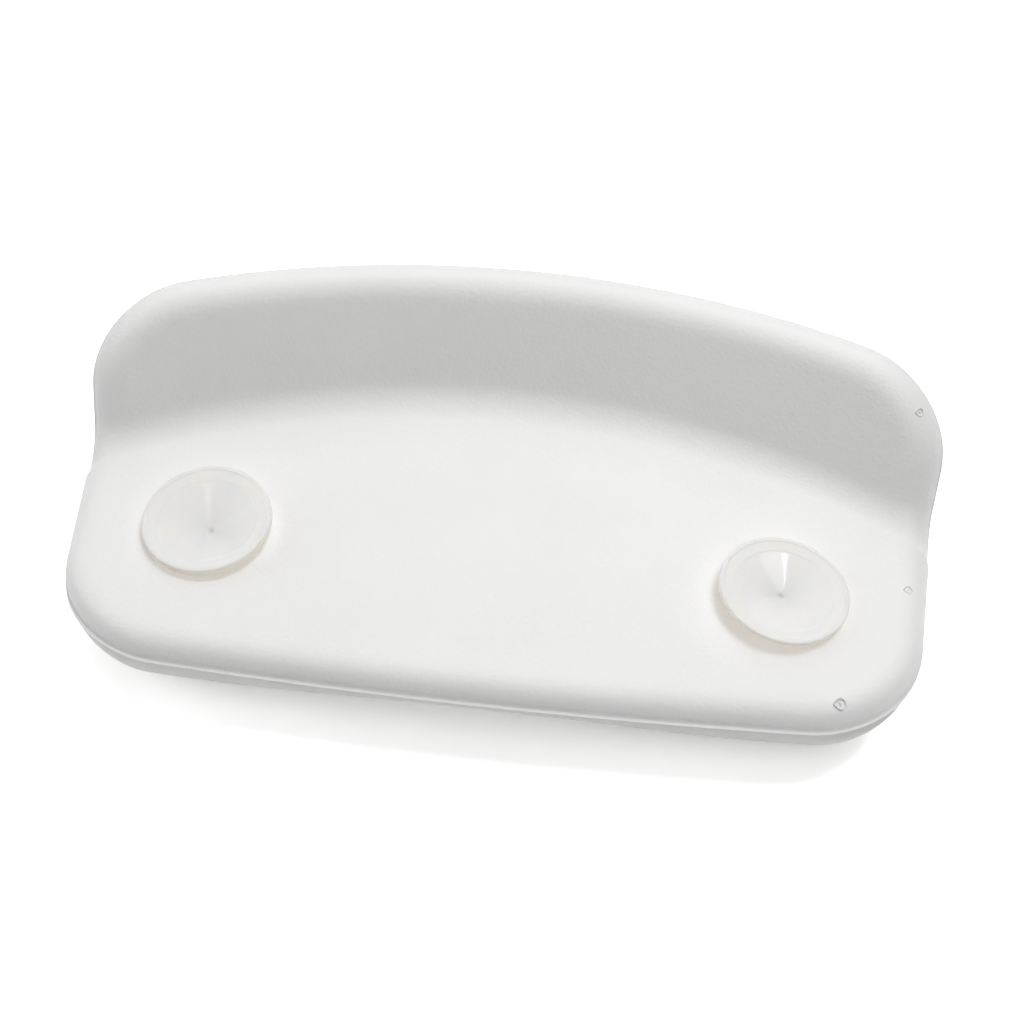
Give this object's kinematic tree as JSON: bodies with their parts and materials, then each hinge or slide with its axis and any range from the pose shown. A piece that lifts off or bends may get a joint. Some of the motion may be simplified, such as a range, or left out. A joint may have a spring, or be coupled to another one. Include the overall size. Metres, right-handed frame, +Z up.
{
  "type": "bath pillow",
  "caption": "White moulded foam bath pillow: a flat back with push-in clear suction cups, a raised arched lip that hooks over the tub's rim, and a contoured head side with a neck hollow.",
  "frame": {"origin": "under the middle of the bounding box, on the surface the pillow lies on with its head side down", "axes": "+X along the pillow's length, +Y towards the raised lip, +Z up, the way the suction cups face"},
  "size_m": [0.308, 0.1622, 0.0858],
  "materials": {
    "foam_core": "soft open-cell polyurethane foam, cream",
    "back_skin": "white integral foam skin, satin, with a fine moulded grain",
    "front_skin": "white integral foam skin, satin, with a fine moulded grain",
    "cup_holder": "white moulded polypropylene",
    "suction_cup": "clear soft vinyl, glossy, slightly milky and warm"
  },
  "bodies": {
    "pillow": {"foam_core": "foam_core", "back_skin": "back_skin", "front_skin": "front_skin"},
    "left_holder": {"left_cup_holder": "cup_holder"},
    "left_cup": {"left_suction_cup": "suction_cup"},
    "right_holder": {"right_cup_holder": "cup_holder"},
    "right_cup": {"right_suction_cup": "suction_cup"}
  },
  "joints": [
    {"name": "left_holder_pull", "type": "slide", "parent": "pillow", "child": "left_holder", "axis": [0, 0, 1], "range_m": [0, 0.025]},
    {"name": "left_cup_swivel", "type": "hinge", "parent": "left_holder", "child": "left_cup", "pos_m": [-0.1, -0.0297, 0.04451], "axis": [0, 0, 1], "continuous": true},
    {"name": "right_holder_pull", "type": "slide", "parent": "pillow", "child": "right_holder", "axis": [0, 0, 1], "range_m": [0, 0.025]},
    {"name": "right_cup_swivel", "type": "hinge", "parent": "right_holder", "child": "right_cup", "pos_m": [0.1, -0.0297, 0.04451], "axis": [0, 0, 1], "continuous": true}
  ]
}
